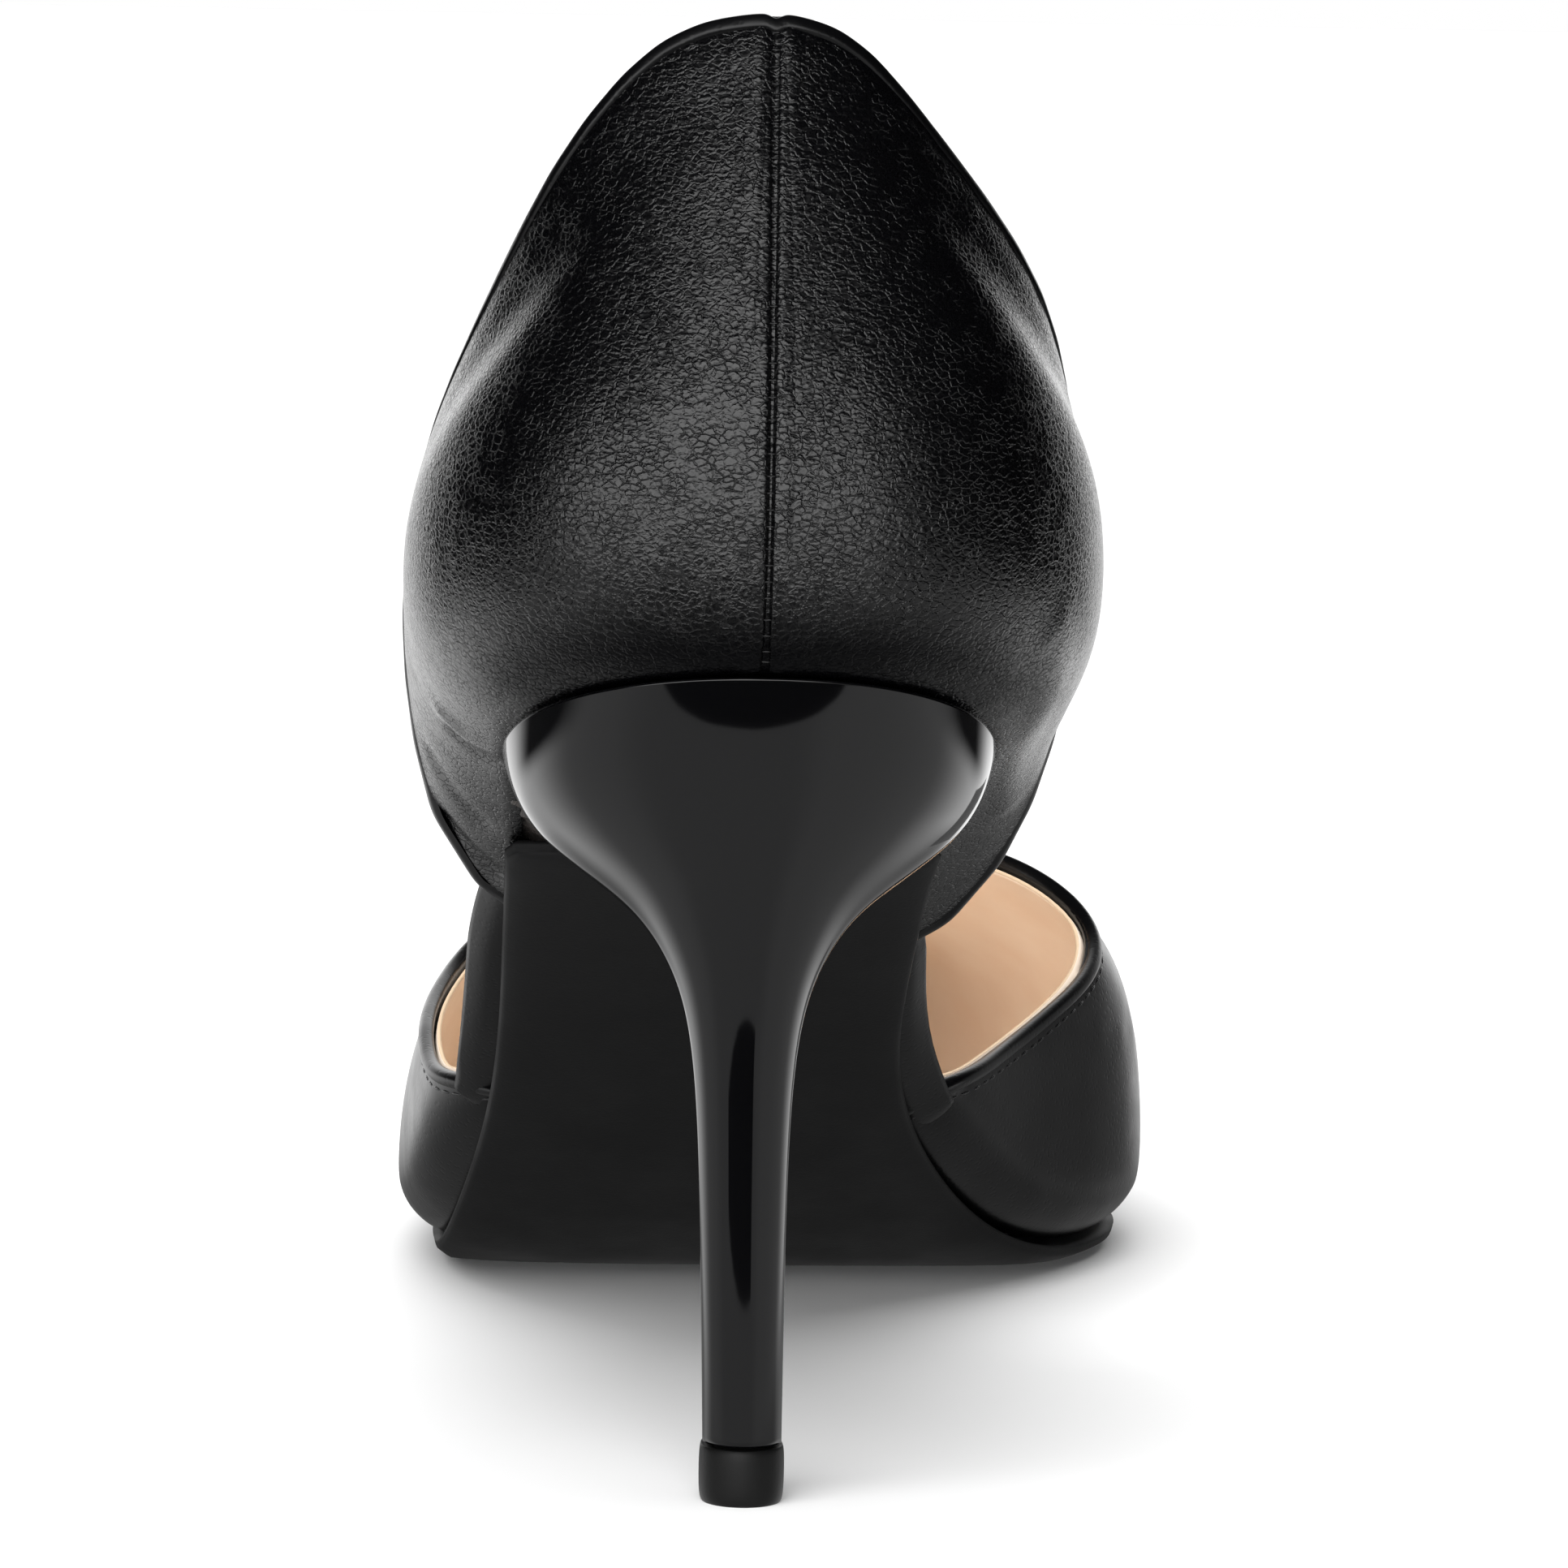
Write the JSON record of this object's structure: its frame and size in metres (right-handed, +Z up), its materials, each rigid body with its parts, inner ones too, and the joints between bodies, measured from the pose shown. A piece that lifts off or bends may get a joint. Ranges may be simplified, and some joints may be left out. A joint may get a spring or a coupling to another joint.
{
  "type": "stiletto pump",
  "caption": "Black leather stiletto pump for the left foot, with a pointed toe, open sides, a tall heel counter and a slim lacquered heel.",
  "frame": {"origin": "middle of the shoe's footprint box, on the floor that it stands on", "axes": "+Y from heel to toe, +X towards the inner side of the left foot, +Z up"},
  "size_m": [0.0818, 0.2352, 0.138],
  "materials": {
    "upper_leather": "semi-gloss fine-grained black leather",
    "insole_leather": "black leather wrapped over the insole board",
    "outsole_resin": "matt near-black thin sole",
    "heel_lacquer": "gloss black lacquer",
    "tip_rubber": "matt black"
  },
  "bodies": {
    "root": {"vamp": "upper_leather", "quarter": "upper_leather", "insole": "insole_leather", "outsole": "outsole_resin", "heel": "heel_lacquer", "heel_tip": "tip_rubber"}
  },
  "joints": []
}
